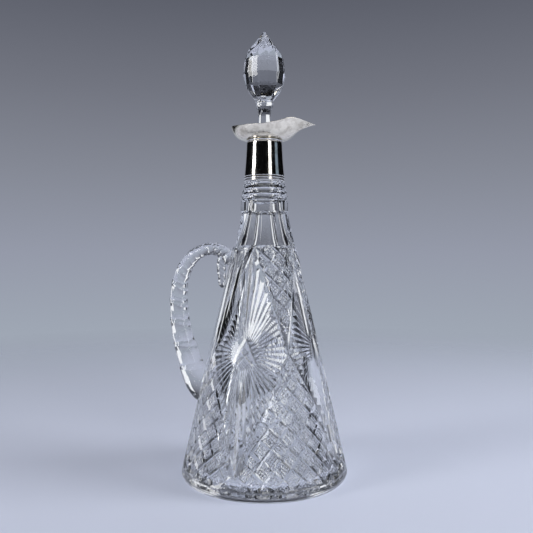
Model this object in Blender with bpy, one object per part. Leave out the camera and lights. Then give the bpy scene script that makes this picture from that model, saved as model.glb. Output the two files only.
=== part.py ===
"""A silver-mounted crystal claret decanter, in metres, +Z up, standing on z = 0 with its axis on Z.

The handle is on the -X side and the pouring spout on the +X side. Every object is one closed solid, and
solids that touch on the real decanter keep GAP between them.
"""

import math

import bmesh
import bpy
from mathutils import Vector

GAP = 0.0003
SIDES = 48

# Glass body: a straight cone on a rounded foot, with a panelled shoulder and step-cut rings on the neck.
BASE_RADIUS = 0.0625
FOOT_FLAT_RADIUS = 0.0595
FOOT_CORNER = 0.004
CONE_SLOPE = 0.2294
SHOULDER_Z = 0.198
BAND_RADIUS = 0.0180
RINGS_Z = 0.2066
RING_COUNT = 3
RING_PITCH = 0.0044
RING_SHRINK = 0.0008
RING_DEPTH = 0.0011
WALL = 0.0060
FLOOR_Z = 0.0095
# The blown inside: radius and height through the neck, heights down the cone, and how far in the
# inside stands from its lower corner, with the height, where it curves into the floor.
CAVITY_NECK = ((0.0082, 0.2120), (0.0094, 0.1980), (0.0130, 0.1840))
CAVITY_CONE_HEIGHTS = (0.168, 0.120, 0.070, 0.024)
CAVITY_CORNER = ((0.0012, 0.0150), (0.0060, 0.0105), (0.0140, FLOOR_Z))

# Neck inside the silver mount, with the ground seat for the stopper.
NECK_FOOT_Z = 0.2202
NECK_FOOT_RADIUS = 0.0128
NECK_TOP_Z = 0.2496
NECK_TOP_RADIUS = 0.0108
SEAT_TOP_Z = 0.2430
SEAT_TOP_RADIUS = 0.0079
SEAT_FOOT_Z = 0.2216
SEAT_FOOT_RADIUS = 0.0067
LINER_SEAT_RADIUS = 0.0088

# Silver mount.
SILVER = 0.0008
SLEEVE_FOOT_Z = 0.2245
SLEEVE_TOP_Z = 0.2504
SLEEVE_FOOT_RADIUS = 0.0152
SLEEVE_TOP_RADIUS = 0.0134
FOOT_WIRE_RADIUS = 0.0156
TOP_WIRE_RADIUS = 0.0137
TOP_WIRE_HEIGHT = 0.0010
REED_DEPTH = 0.0005
LINER_THICKNESS = 0.0006
PLASTER_THICKNESS = 0.0010
LIP_FOOT_Z = 0.2520
LIP_THICKNESS = 0.0009
LIP_FOOT_RADIUS = 0.0133
LIP_HOLE_RADIUS = 0.0083
# The lip's profile is a curve from the collar to the brim. It leaves the collar flat for LIP_FLAT, then its
# belly stands at a radius and a height above the collar that both grow where the brim reaches out as a spout.
LIP_FLAT = 0.0060
LIP_BELLY_RADIUS, LIP_BELLY_RADIUS_GROWTH = 0.0235, 0.0035
LIP_BELLY_HEIGHT, LIP_BELLY_HEIGHT_GROWTH = 0.0030, 0.0050
SPOUT_FROM_RADIUS, SPOUT_REACH = 0.026, 0.014
# The brim of the lip on one side of the spout: angle from the spout (degrees), radius and height.
BRIM = (
    (0, 0.0400, 0.2608),
    (8, 0.0345, 0.2636),
    (18, 0.0292, 0.2660),
    (32, 0.0265, 0.2646),
    (48, 0.0253, 0.2621),
    (75, 0.0250, 0.2597),
    (110, 0.0250, 0.2598),
    (145, 0.0250, 0.2612),
    (180, 0.0250, 0.2620),
)
BRIM_STEP = 7.5
BRIM_ROWS = 6

# Stopper: a faceted finial on a knop, a stem and a ground peg.
STOPPER_TIP_Z = 0.3328
CROWN_FACETS = 6
ROW_FACETS = 12
STOPPER_TURN = math.radians(-59)
BLANK_RADIUS = 0.030
# Facet rows of the finial, from the crown down: height and apothem of each row's edge.
FINIAL = (
    (0.3328, 0.0006),
    (0.3155, 0.0129),
    (0.3115, 0.0143),
    (0.3000, 0.0158),
    (0.2925, 0.0138),
    (0.2880, 0.0115),
    (0.2812, 0.0062),
)
# Stem and knop above the ground peg, which fits the seat in the neck: radius and height.
SHANK = (
    (0.0054, 0.2455),
    (0.0048, 0.2560),
    (0.0050, 0.2700),
    (0.0052, 0.2758),
    (0.0064, 0.2776),
    (0.0064, 0.2800),
    (0.0058, 0.2816),
    (0.0050, 0.2850),
    (0.0000, 0.2850),
)
PEG_TOP_Z = 0.2425
PEG_FOOT_Z = 0.2222
PEG_CHAMFER_IN, PEG_CHAMFER_UP = 0.0006, 0.0008
SHANK_SIDES = 24

# Handle, in the XZ plane: distance out from the axis, height, half thickness, half width.
HANDLE = (
    (0.0255, 0.1610, 0.0056, 0.0066),
    (0.0310, 0.1645, 0.0054, 0.0062),
    (0.0385, 0.1680, 0.0045, 0.0054),
    (0.0470, 0.1686, 0.0043, 0.0052),
    (0.0565, 0.1655, 0.0046, 0.0053),
    (0.0655, 0.1580, 0.0052, 0.0056),
    (0.0718, 0.1470, 0.0059, 0.0060),
    (0.0740, 0.1330, 0.0066, 0.0065),
    (0.0734, 0.1180, 0.0072, 0.0070),
    (0.0706, 0.1030, 0.0078, 0.0078),
    (0.0660, 0.0890, 0.0088, 0.0092),
    (0.0605, 0.0765, 0.0098, 0.0112),
    (0.0555, 0.0655, 0.0096, 0.0120),
    (0.0520, 0.0560, 0.0066, 0.0090),
    (0.0500, 0.0510, 0.0030, 0.0040),
)
# The drawn-out tail of the handle's upper end, which hangs beside the body.
TAIL = (
    (0.0300, 0.1660, 0.0040, 0.0048),
    (0.0345, 0.1625, 0.0040, 0.0046),
    (0.0356, 0.1560, 0.0034, 0.0038),
    (0.0352, 0.1490, 0.0030, 0.0034),
    (0.0350, 0.1430, 0.0023, 0.0026),
    (0.0348, 0.1400, 0.0008, 0.0010),
)
HANDLE_SIDES = 8
HANDLE_STEPS = 2
# Heights of the cone that cuts the handle's ends to the body.
CUTTER_FOOT_Z, CUTTER_TOP_Z = 0.030, 0.190

GLASS = ((0.90, 0.93, 0.93), 0.03, 0.0)
SILVER_FINISH = ((0.78, 0.77, 0.74), 0.12, 1.0)
LINER_FINISH = ((0.70, 0.68, 0.64), 0.30, 1.0)
PLASTER_FINISH = ((0.80, 0.77, 0.70), 0.90, 0.0)


def clear_scene():
    for old in list(bpy.data.objects):
        bpy.data.objects.remove(old)


def make_material(name, finish, transmission=0.0):
    colour, roughness, metallic = finish
    material = bpy.data.materials.new(name)
    material.use_nodes = True
    shader = material.node_tree.nodes["Principled BSDF"]
    shader.inputs["Base Color"].default_value = (*colour, 1.0)
    shader.inputs["Roughness"].default_value = roughness
    shader.inputs["Metallic"].default_value = metallic
    shader.inputs["Transmission Weight"].default_value = transmission
    return material


def add_object(name, mesh_source, material):
    """Turns a bmesh into a named object with outward faces, one material and smooth round faces."""
    bmesh.ops.recalc_face_normals(mesh_source, faces=mesh_source.faces)
    mesh = bpy.data.meshes.new(name)
    mesh_source.to_mesh(mesh)
    mesh_source.free()
    mesh.shade_smooth()
    mesh.set_sharp_from_angle(angle=math.radians(30))
    mesh.materials.append(material)
    piece = bpy.data.objects.new(name, mesh)
    bpy.context.collection.objects.link(piece)
    return piece


def ring_of(bm, radius, height, sides, phase=0.0):
    """One ring of vertices round Z, or a single vertex on the axis."""
    if radius == 0.0:
        return [bm.verts.new((0.0, 0.0, height))]
    turn = 2 * math.pi / sides
    angles = [phase + turn * k for k in range(sides)]
    return [bm.verts.new((radius * math.cos(a), radius * math.sin(a), height)) for a in angles]


def bridge(bm, lower, upper):
    """Faces between two rings. Either ring may be a single vertex."""
    count = max(len(lower), len(upper))
    for k in range(count):
        corners = [lower[k % len(lower)], lower[(k + 1) % len(lower)]]
        corners += [upper[(k + 1) % len(upper)], upper[k % len(upper)]]
        distinct = list(dict.fromkeys(corners))
        if len(distinct) > 2:
            bm.faces.new(distinct)


def turned(outline, closed, sides=SIDES):
    """A solid of revolution. A closed outline makes a ring; an open one starts and ends on the axis."""
    bm = bmesh.new()
    rings = [ring_of(bm, radius, height, sides) for radius, height in outline]
    for first, second in zip(rings, rings[1:]):
        bridge(bm, first, second)
    if closed:
        bridge(bm, rings[-1], rings[0])
    return bm


def cone_radius(z):
    """Outside radius of the glass cone at a height."""
    return BASE_RADIUS - CONE_SLOPE * (z - FOOT_CORNER)


def foot_outline():
    """The flat underside and the rounded corner of the foot."""
    corner = BASE_RADIUS - FOOT_FLAT_RADIUS
    points = [(0.0, 0.0), (FOOT_FLAT_RADIUS * 0.5, 0.0)]
    for k in range(5):
        a = math.radians(90 * k / 4)
        points.append((FOOT_FLAT_RADIUS + corner * math.sin(a), FOOT_CORNER * (1 - math.cos(a))))
    return points


def neck_rings_outline():
    """Step-cut rings, each a little narrower than the one below it."""
    points = []
    for k in range(RING_COUNT):
        z = RINGS_Z + RING_PITCH * k
        radius = BAND_RADIUS - RING_SHRINK * (k + 0.4)
        points.append((radius - RING_DEPTH, z + 0.0004))
        points.append((radius, z + RING_PITCH * 0.35))
        points.append((radius - RING_SHRINK * 0.5, z + RING_PITCH * 0.80))
    return points


def cavity_outline():
    """The inside of the bottle, from the mouth down to the middle of the floor."""
    points = [
        (LINER_SEAT_RADIUS, NECK_TOP_Z),
        (LINER_SEAT_RADIUS, SEAT_TOP_Z),
        (SEAT_TOP_RADIUS, SEAT_TOP_Z - 0.0002),
        (SEAT_FOOT_RADIUS, SEAT_FOOT_Z),
        *CAVITY_NECK,
    ]
    points += [(cone_radius(z) - WALL, z) for z in CAVITY_CONE_HEIGHTS]
    floor_corner = cone_radius(FLOOR_Z) - WALL
    points += [(floor_corner - inset, z) for inset, z in CAVITY_CORNER]
    points.append((0.0, FLOOR_Z))
    return points


def glass_body(material):
    outline = foot_outline()
    outline += [(cone_radius(z), z) for z in (0.052, 0.096, 0.134, 0.172)]
    outline += [(BAND_RADIUS, SHOULDER_Z), (BAND_RADIUS - 0.0002, RINGS_Z - 0.0004)]
    outline += neck_rings_outline()
    outline += [(NECK_FOOT_RADIUS, NECK_FOOT_Z - 0.0002), (NECK_TOP_RADIUS, NECK_TOP_Z)]
    outline += cavity_outline()
    return add_object("glass_body", turned(outline, closed=False), material)


def spline(points, steps):
    """Catmull-Rom curve through rows of numbers, with steps spans between neighbours."""
    rows = [points[0], *points, points[-1]]
    found = []
    for a, b, c, d in zip(rows, rows[1:], rows[2:], rows[3:]):
        for k in range(steps):
            t = k / steps
            found.append(tuple(
                0.5 * (2 * q + (r - p) * t + (2 * p - 5 * q + 4 * r - s) * t * t
                       + (3 * q - p - 3 * r + s) * t ** 3)
                for p, q, r, s in zip(a, b, c, d)
            ))
    found.append(tuple(points[-1]))
    return found


def swept(stations, sides):
    """A solid with an oval section along a path in the XZ plane, on the -X side."""
    bm = bmesh.new()
    rings = []
    for k, (out, height, thick, wide) in enumerate(stations):
        before = stations[max(k - 1, 0)]
        after = stations[min(k + 1, len(stations) - 1)]
        along = Vector((-(after[0] - before[0]), 0.0, after[1] - before[1])).normalized()
        across = Vector((along.z, 0.0, -along.x))
        centre = Vector((-out, 0.0, height))
        ring = []
        for j in range(sides):
            a = 2 * math.pi * (j + 0.5) / sides
            offset = across * (thick * math.cos(a)) + Vector((0.0, wide * math.sin(a), 0.0))
            ring.append(bm.verts.new(centre + offset))
        rings.append(ring)
    for first, second in zip(rings, rings[1:]):
        bridge(bm, first, second)
    bm.faces.new(rings[0])
    bm.faces.new(rings[-1])
    return bm


def boolean(piece, other, operation):
    """Applies a Boolean with another object, which then stays hidden as a guide."""
    modifier = piece.modifiers.new(operation.lower(), "BOOLEAN")
    modifier.operation = operation
    modifier.object = other
    modifier.solver = "EXACT"
    other.hide_render = True
    other.display_type = "WIRE"


def glass_handle(material):
    handle = add_object("glass_handle", swept(spline(HANDLE, HANDLE_STEPS), HANDLE_SIDES), material)
    tail = add_object("tail_guide", swept(spline(TAIL, HANDLE_STEPS), HANDLE_SIDES), material)
    low, high = CUTTER_FOOT_Z, CUTTER_TOP_Z
    cone = [(0.0, low), (cone_radius(low) + GAP, low), (cone_radius(high) + GAP, high), (0.0, high)]
    cutter = add_object("body_cutter", turned(cone, closed=False), material)
    boolean(handle, tail, "UNION")
    boolean(handle, cutter, "DIFFERENCE")
    return handle


def tapered_tube(name, foot, top, thickness, material):
    """A tapered tube between two (outer radius, height) pairs."""
    outline = [foot, top, (top[0] - thickness, top[1]), (foot[0] - thickness, foot[1])]
    return add_object(name, turned(outline, closed=True), material)


def reeded_wire(name, radius, inner, low, high, reeds, material):
    """A ring whose outer face has rounded reeds, one above the other."""
    outline = [(inner, high), (inner, low)]
    pitch = (high - low) / reeds
    for k in range(reeds):
        for part in (0.0, 0.25, 0.5, 0.75):
            bulge = REED_DEPTH * math.sin(math.pi * part)
            outline.append((radius - REED_DEPTH + bulge, low + pitch * (k + part)))
    outline.append((radius - REED_DEPTH, high))
    return add_object(name, turned(outline, closed=True), material)


def collar(silver, liner, plaster):
    foot = (SLEEVE_FOOT_RADIUS, SLEEVE_FOOT_Z)
    top = (SLEEVE_TOP_RADIUS, SLEEVE_TOP_Z)
    tapered_tube("collar_sleeve", foot, top, SILVER, silver)
    wire_top = SLEEVE_FOOT_Z - GAP
    wire_inner = NECK_FOOT_RADIUS + GAP
    reeded_wire("collar_foot_wire", FOOT_WIRE_RADIUS, wire_inner, NECK_FOOT_Z + GAP, wire_top, 2, silver)
    wire_foot = SLEEVE_TOP_Z + GAP
    wire_high = wire_foot + TOP_WIRE_HEIGHT
    wire_inner = SLEEVE_TOP_RADIUS - SILVER
    reeded_wire("collar_top_wire", TOP_WIRE_RADIUS, wire_inner, wire_foot, wire_high, 1, silver)
    bed_foot = (SLEEVE_FOOT_RADIUS - SILVER - GAP, SLEEVE_FOOT_Z + GAP)
    bed_top = (SLEEVE_TOP_RADIUS - SILVER - GAP, NECK_TOP_Z - GAP)
    tapered_tube("collar_plaster", bed_foot, bed_top, PLASTER_THICKNESS, plaster)
    liner_radius = LINER_SEAT_RADIUS - GAP
    liner_foot = (liner_radius, SEAT_TOP_Z + GAP)
    liner_top = (liner_radius, LIP_FOOT_Z - GAP)
    tapered_tube("throat_liner", liner_foot, liner_top, LINER_THICKNESS, liner)


def brim_at(angle):
    """Radius and height of the lip's brim at an angle in degrees from the spout."""
    mirrored = [(-a, r, z) for a, r, z in BRIM[1:3]][::-1]
    beyond = [(360 - a, r, z) for a, r, z in BRIM[-3:-1]][::-1]
    rows = mirrored + list(BRIM) + beyond
    turn = abs((angle + 180) % 360 - 180)
    for k in range(1, len(rows) - 2):
        if rows[k][0] <= turn <= rows[k + 1][0] and rows[k][0] >= 0:
            t = (turn - rows[k][0]) / (rows[k + 1][0] - rows[k][0])
            a, b, c, d = rows[k - 1], rows[k], rows[k + 1], rows[k + 2]
            return tuple(catmull(a, b, c, d, i, t) for i in (1, 2))
    return rows[-3][1:]


def catmull(a, b, c, d, i, t):
    """One value of a curve through rows at uneven stations: slopes come from each row's neighbours."""
    span = c[0] - b[0]
    slope_b = (c[i] - a[i]) / (c[0] - a[0]) * span
    slope_c = (d[i] - b[i]) / (d[0] - b[0]) * span
    h = t * t * (3 - 2 * t)
    rise = t * (1 - t) * (1 - t) * slope_b - t * t * (1 - t) * slope_c
    return b[i] * (1 - h) + c[i] * h + rise


def lip_point(angle, s, inside):
    """A point of the lip: s runs from the collar (0) to the brim (1), on its outer or its inner face."""
    radius, height = brim_at(angle)
    reach = max(0.0, (radius - SPOUT_FROM_RADIUS) / SPOUT_REACH)
    first = (LIP_FOOT_RADIUS + LIP_FLAT, LIP_FOOT_Z)
    belly_radius = LIP_BELLY_RADIUS + LIP_BELLY_RADIUS_GROWTH * reach
    belly_z = LIP_FOOT_Z + LIP_BELLY_HEIGHT + LIP_BELLY_HEIGHT_GROWTH * reach
    second = (belly_radius, belly_z)
    knots = ((LIP_FOOT_RADIUS, LIP_FOOT_Z), first, second, (radius, height))
    weights = ((1 - s) ** 3, 3 * s * (1 - s) ** 2, 3 * s * s * (1 - s), s ** 3)
    r = sum(w * k[0] for w, k in zip(weights, knots))
    z = sum(w * k[1] for w, k in zip(weights, knots))
    if inside:
        shift = LIP_THICKNESS * (1 - 0.25 * s)
        r -= shift * s * 0.9
        z += shift * (1 - 0.55 * s)
    a = math.radians(angle)
    return (r * math.cos(a), r * math.sin(a), z)


def pouring_lip(material):
    bm = bmesh.new()
    angles = [BRIM_STEP * k for k in range(round(360 / BRIM_STEP))]
    loops = []
    for k in range(BRIM_ROWS + 1):
        loops.append([bm.verts.new(lip_point(a, k / BRIM_ROWS, False)) for a in angles])
    for k in range(BRIM_ROWS, -1, -1):
        loops.append([bm.verts.new(lip_point(a, k / BRIM_ROWS, True)) for a in angles])
    loops.append(ring_of(bm, LIP_HOLE_RADIUS, LIP_FOOT_Z + LIP_THICKNESS, len(angles)))
    loops.append(ring_of(bm, LIP_HOLE_RADIUS, LIP_FOOT_Z, len(angles)))
    for first, second in zip(loops, loops[1:] + loops[:1]):
        bridge(bm, first, second)
    return add_object("pouring_lip", bm, material)


def cut_flat(bm, point, normal):
    """Grinds one flat facet: everything beyond the plane goes, and the cut is closed."""
    geometry = [*bm.verts, *bm.edges, *bm.faces]
    cut = bmesh.ops.bisect_plane(
        bm, geom=geometry, plane_co=point, plane_no=normal, clear_outer=True, dist=1e-7
    )
    edges = [e for e in cut["geom_cut"] if isinstance(e, bmesh.types.BMEdge)]
    bmesh.ops.contextual_create(bm, geom=edges)


def finial():
    """The stopper's head, ground as rows of flat facets from a plain blank."""
    low = FINIAL[-1][0]
    blank = [(0.0, low), (BLANK_RADIUS, low), (BLANK_RADIUS, STOPPER_TIP_Z), (0.0, STOPPER_TIP_Z)]
    bm = turned(blank, closed=False, sides=4)
    for row, (upper, lower) in enumerate(zip(FINIAL, FINIAL[1:])):
        facets = CROWN_FACETS if row == 0 else ROW_FACETS
        phase = STOPPER_TURN + (math.pi / facets if row % 2 else 0.0)
        rise, run = upper[0] - lower[0], lower[1] - upper[1]
        for k in range(facets):
            a = phase + 2 * math.pi * k / facets
            out = Vector((math.cos(a), math.sin(a), 0.0))
            normal = (out * rise + Vector((0.0, 0.0, run))).normalized()
            cut_flat(bm, out * lower[1] + Vector((0.0, 0.0, lower[0])), normal)
    return bm


def stopper(material):
    foot = SEAT_FOOT_RADIUS - GAP
    top = SEAT_TOP_RADIUS - GAP
    peg = [(0.0, PEG_FOOT_Z), (foot - PEG_CHAMFER_IN, PEG_FOOT_Z), (foot, PEG_FOOT_Z + PEG_CHAMFER_UP)]
    outline = [*peg, (top, PEG_TOP_Z), *SHANK]
    head = add_object("stopper", finial(), material)
    shank = add_object("shank_guide", turned(outline, closed=False, sides=SHANK_SIDES), material)
    boolean(head, shank, "UNION")
    return head


def build():
    clear_scene()
    glass = make_material("crystal", GLASS, transmission=1.0)
    silver = make_material("silver", SILVER_FINISH)
    liner = make_material("liner_silver", LINER_FINISH)
    plaster = make_material("plaster", PLASTER_FINISH)
    glass_body(glass)
    glass_handle(glass)
    collar(silver, liner, plaster)
    pouring_lip(silver)
    stopper(glass)


build()
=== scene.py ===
"""Looks of the cut crystal decanter: finely cut glass, silver mount, materials, light and camera.

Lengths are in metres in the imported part's frame: +Z up, the handle on -X and the spout on +X. The cut glass
is first drawn flat: a cone unrolls into a flat sheet, wheel cuts are straight lines on that sheet, and their
depth is the sheet's third axis. The sheet is in millimetres, and is rolled back onto the cone at the end.
"""

import math

import bmesh
import bpy
from mathutils import Matrix, Vector


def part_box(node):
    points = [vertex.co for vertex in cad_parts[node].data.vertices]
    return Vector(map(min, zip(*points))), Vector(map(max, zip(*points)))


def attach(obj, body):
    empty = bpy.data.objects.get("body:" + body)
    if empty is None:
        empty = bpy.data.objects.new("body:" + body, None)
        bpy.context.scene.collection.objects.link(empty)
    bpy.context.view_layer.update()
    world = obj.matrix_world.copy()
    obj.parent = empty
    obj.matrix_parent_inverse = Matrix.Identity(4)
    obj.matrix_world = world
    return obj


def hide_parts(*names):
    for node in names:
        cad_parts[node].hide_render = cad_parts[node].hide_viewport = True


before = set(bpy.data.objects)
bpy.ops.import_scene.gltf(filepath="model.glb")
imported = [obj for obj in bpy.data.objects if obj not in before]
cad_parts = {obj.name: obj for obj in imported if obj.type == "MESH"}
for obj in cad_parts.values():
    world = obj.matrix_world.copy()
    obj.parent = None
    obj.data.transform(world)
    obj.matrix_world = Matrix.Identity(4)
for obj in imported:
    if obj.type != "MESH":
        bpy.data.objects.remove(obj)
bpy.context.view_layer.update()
MM = 0.001

# ---------------------------------------------------------------- shape of the glass cone, from the frame

BASE_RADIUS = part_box("glass_body")[1][0]
FOOT_CORNER = 0.0040
FOOT_FLAT_RADIUS = 0.0595
CONE_SLOPE = 0.2294
APEX_Z = FOOT_CORNER + BASE_RADIUS / CONE_SLOPE
SLANT = math.sqrt(1 + CONE_SLOPE ** 2)
UNROLL = CONE_SLOPE / SLANT
WALL = 0.0060
FOOT_WALL = 0.0048
FLOOR_Z = 0.0062

# Heights of the cut pattern.
PATTERN_FOOT_Z = 0.0075
LOZENGE_FOOT_Z = 0.0120
LOZENGE_SIDE_Z = 0.0960
PATTERN_TOP_Z = 0.1720

# Scallops over the plain band at the foot, their depth in millimetres, and the star in the underside, as
# (radius, depth in millimetres).
SCALLOPS, SCALLOP_Z, SCALLOP_DEPTH = 48, 0.0062, 0.4
BAND_TOP_Z = 0.0046
STAR = ((0.0340, 0.0), (0.0320, 0.3), (0.0270, 0.8), (0.0200, 0.9), (0.0120, 0.8), (0.0060, 0.5))

# The eight flat panels over the pattern: where they start, their rows of vertices, and where they run out.
PANEL_FOOT_Z, PANEL_ROW, PANEL_ROWS = 0.1728, 0.0026, 9
PANEL_END_Z, PANEL_END_LENGTH = 0.1962, 0.0022
PANEL_END_ROWS = (0.1950, 0.1962, 0.1966, 0.1970, 0.1974, 0.1978, 0.1981, 0.1984)

# The round band over the panels, as (inset, height), then the step-cut rings and the profile of one ring,
# as (share of the pitch, inset in millimetres).
BAND_RADIUS = 0.0180
BAND = ((0.0, 0.1995), (0.0001, 0.2030), (0.0002, 0.2060))
RINGS_Z, RING_COUNT, RING_PITCH, RING_SHRINK = 0.2066, 3, 0.0044, 0.0008
RING_PROFILE = ((0.05, 1.55), (0.22, 0.25), (0.36, 0.02), (0.60, 0.03), (0.78, 0.35), (0.95, 1.45))

# The neck in the silver, its mouth, the ground seat and the bore under it, as (radius, height).
NECK = ((0.0134, 0.2198), (0.0128, 0.2206), (0.0118, 0.2350), (0.0109, 0.2490))
MOUTH = ((0.0105, 0.2496), (0.0092, 0.2496), (0.0088, 0.2492))
SEAT = ((0.0088, 0.2430), (0.0079, 0.2428), (0.0073, 0.2320), (0.0067, 0.2216))
BORE = (
    (0.0067, 0.2216), (0.0074, 0.2160), (0.0082, 0.2090), (0.0090, 0.2000), (0.0106, 0.1910),
    (0.0140, 0.1800),
)

# Wheel cuts, in millimetres: depth, and how steep a V's sides are.
MITRE_DEPTH, MITRE_SIDE, MITRE_OVERRUN = 2.1, 0.78, 3.2
RAY_DEPTH, RAY_SIDE = 1.6, 0.80
RAY_COUNT, RAY_STRETCH, SUN_RADIUS = 48, 1.3, 9.6
LATTICE_PITCH, LATTICE_ANGLE, LATTICE_SIDE, LATTICE_DEPTH = 9.6, math.radians(44), 0.75, 1.25
HATCH_SIDE, HATCH_DEPTH, HATCH_LINES = 0.48, 0.32, 5
TOP_GROOVE_DEPTH, TOP_GROOVE_SIDE = 0.9, 0.8
FOOT_FADE_SLOPE = 0.34
SUN_LIFT, SUN_EDGE = 0.0010, 2.6
HALF_PANEL = math.radians(45)
COLUMN = math.radians(3)


def cone_radius(z):
    return BASE_RADIUS - CONE_SLOPE * (z - FOOT_CORNER)


def slant(z):
    """Distance in millimetres from the cone's point down to a height, along the surface."""
    return (APEX_Z - z) * SLANT / MM


def flat(turn, z):
    """Where a point of the cone lies on the unrolled sheet."""
    a = turn * UNROLL
    return Vector((slant(z) * math.sin(a), -slant(z) * math.cos(a), 0.0))


def polar(point):
    """Unrolled sheet to (turn scaled to millimetres, slant distance), keeping the depth."""
    length = math.hypot(point.x, point.y)
    return Vector((math.atan2(point.x, -point.y) / UNROLL * 100, -length, point.z))


def unpolar(point):
    a = point.x / 100 * UNROLL
    return Vector((-point.y * math.sin(a), point.y * math.cos(a), point.z))


# ---------------------------------------------------------------- wheel cutting on a flat sheet


def bisect(bm, faces, point, normal):
    """Splits faces along a plane and returns them with the new ones."""
    geometry = set(faces)
    for face in faces:
        geometry.update(face.edges)
        geometry.update(face.verts)
    cut = bmesh.ops.bisect_plane(
        bm, geom=list(geometry), plane_co=point, plane_no=normal, dist=1e-4
    )
    found = {g for g in cut["geom"] if isinstance(g, bmesh.types.BMFace)}
    found.update(f for f in faces if f.is_valid)
    return list(found)


def depth_along(run, s):
    """Depth of a cut at a distance along it. Beyond its ends the wheel is above the glass."""
    if s <= run[0][0]:
        return run[0][1] - 0.6 * (run[0][0] - s)
    for (s0, d0), (s1, d1) in zip(run, run[1:]):
        if s <= s1:
            return d0 + (d1 - d0) * (s - s0) / (s1 - s0)
    return run[-1][1] - 0.6 * (s - run[-1][0])


def wheel_cut(bm, faces, start, along, run, side):
    """Cuts one V groove into the sheet faces given, and returns them with the faces that it made."""
    along = along.normalized()
    across = Vector((along.y, -along.x, 0.0))
    reach = max(d for _, d in run) / side
    near, rest = [], []
    for face in faces:
        ts = [(v.co - start).dot(across) for v in face.verts]
        ss = [(v.co - start).dot(along) for v in face.verts]
        hit = min(ts) < reach and max(ts) > -reach and min(ss) < run[-1][0] and max(ss) > run[0][0]
        (near if hit else rest).append(face)
    if not near:
        return faces
    near = bisect(bm, near, start, across)
    for s, _ in run:
        near = bisect(bm, near, start + along * s, along)

    def cutter(v):
        offset = v.co - start
        return depth_along(run, offset.dot(along)) - abs(offset.dot(across)) * side

    for v in {v for f in near for v in f.verts}:
        v.co.z -= cutter(v)
    near = bisect(bm, near, Vector((0, 0, 0)), Vector((0, 0, 1)))
    for v in {v for f in near for v in f.verts}:
        v.co.z = max(v.co.z, 0.0) + cutter(v)
    return rest + near


def fade(bm, start, along, slope):
    """Limits every cut to a depth that grows from zero at a line, so that the cuts run out there."""
    along = along.normalized()
    ramp = {v: slope * (v.co - start).dot(along) for v in bm.verts}
    for v, limit in ramp.items():
        v.co.z -= limit
    bisect(bm, list(bm.faces), Vector((0, 0, 0)), Vector((0, 0, 1)))
    for v in bm.verts:
        limit = slope * (Vector((v.co.x, v.co.y, 0)) - start).dot(along)
        v.co.z = max(min(v.co.z, 0.0) + limit, 0.0)


def base_sheet():
    """Half a panel of the unrolled cone: from the panel's middle line to the next field's middle line."""
    bm = bmesh.new()
    columns = round(HALF_PANEL / COLUMN)
    rows = 26
    grid = []
    for j in range(rows + 1):
        z = PATTERN_FOOT_Z + (PATTERN_TOP_Z - PATTERN_FOOT_Z) * j / rows
        grid.append([bm.verts.new(flat(COLUMN * k, z)) for k in range(columns + 1)])
    for low, high in zip(grid, grid[1:]):
        for k in range(columns):
            bm.faces.new((low[k], low[k + 1], high[k + 1], high[k]))
    return bm


def mirrored(point):
    """A point of the sheet mirrored across the line between two panels."""
    axis = Vector((math.sin(HALF_PANEL * UNROLL), -math.cos(HALF_PANEL * UNROLL), 0.0))
    return axis * (2 * point.dot(axis)) - point


def lozenge_corners():
    return flat(0, PATTERN_TOP_Z), flat(HALF_PANEL, LOZENGE_SIDE_Z), flat(0, LOZENGE_FOOT_Z)


def mitres(own_upper, next_upper):
    """The long grooves round the lozenges that reach this half panel: (start, direction, run)."""
    top, corner, foot = lozenge_corners()
    own = [(foot, corner)] + ([(top, corner)] if own_upper else [])
    beyond = [(foot, corner)] + ([(top, corner)] if next_upper else [])
    beyond = [(mirrored(a), mirrored(b)) for a, b in beyond]
    # The cuts on both sides of a seam are made in the same order, so that their vertices meet.
    pairs = own + beyond if own_upper else beyond + own
    found = []
    for a, b in pairs:
        length = (b - a).length
        run = ((-1.0, MITRE_DEPTH), (length, MITRE_DEPTH), (length + MITRE_OVERRUN, 0.0))
        found.append((a, b - a, run))
    return found


def side_of(point, a, b):
    """Positive to the right of the line from a to b."""
    return (point.x - a.x) * (b.y - a.y) - (point.y - a.y) * (b.x - a.x)


def region_of(face):
    """Which part of the pattern a face lies in: the lozenge, the upper field or the lower field."""
    middle = face.calc_center_median()
    top, corner, foot = lozenge_corners()
    inside_upper = side_of(middle, top, corner) > 0
    inside_lower = side_of(middle, corner, foot) > 0
    if inside_upper and inside_lower:
        return "lozenge"
    corner_slant = corner.length
    return "upper" if math.hypot(middle.x, middle.y) < corner_slant else "lower"


def sunburst(bm, faces):
    """Rays from a plain disc to the lozenge's edge, closer together along its long axis."""
    centre = flat(0, LOZENGE_SIDE_Z + SUN_LIFT)

    def heading(k):
        a = 2 * math.pi * k / RAY_COUNT
        return math.atan2(math.sin(a), RAY_STRETCH * math.cos(a))

    for k in range(RAY_COUNT // 2 + 1):
        a = heading(k)
        half = (heading(k + 1) - heading(k - 1)) % (2 * math.pi) / 4
        grow = RAY_SIDE * math.tan(half)
        full = RAY_DEPTH / grow
        first = (SUN_RADIUS + SUN_EDGE) * grow
        run = [(SUN_RADIUS, 0.0), (SUN_RADIUS + SUN_EDGE, first)]
        if full < 90:
            run += [(full, RAY_DEPTH), (110.0, RAY_DEPTH)]
        else:
            run.append((110.0, 110.0 * grow))
        faces = wheel_cut(bm, faces, centre, Vector((math.sin(a), math.cos(a), 0)), run, RAY_SIDE)
    return faces


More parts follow.
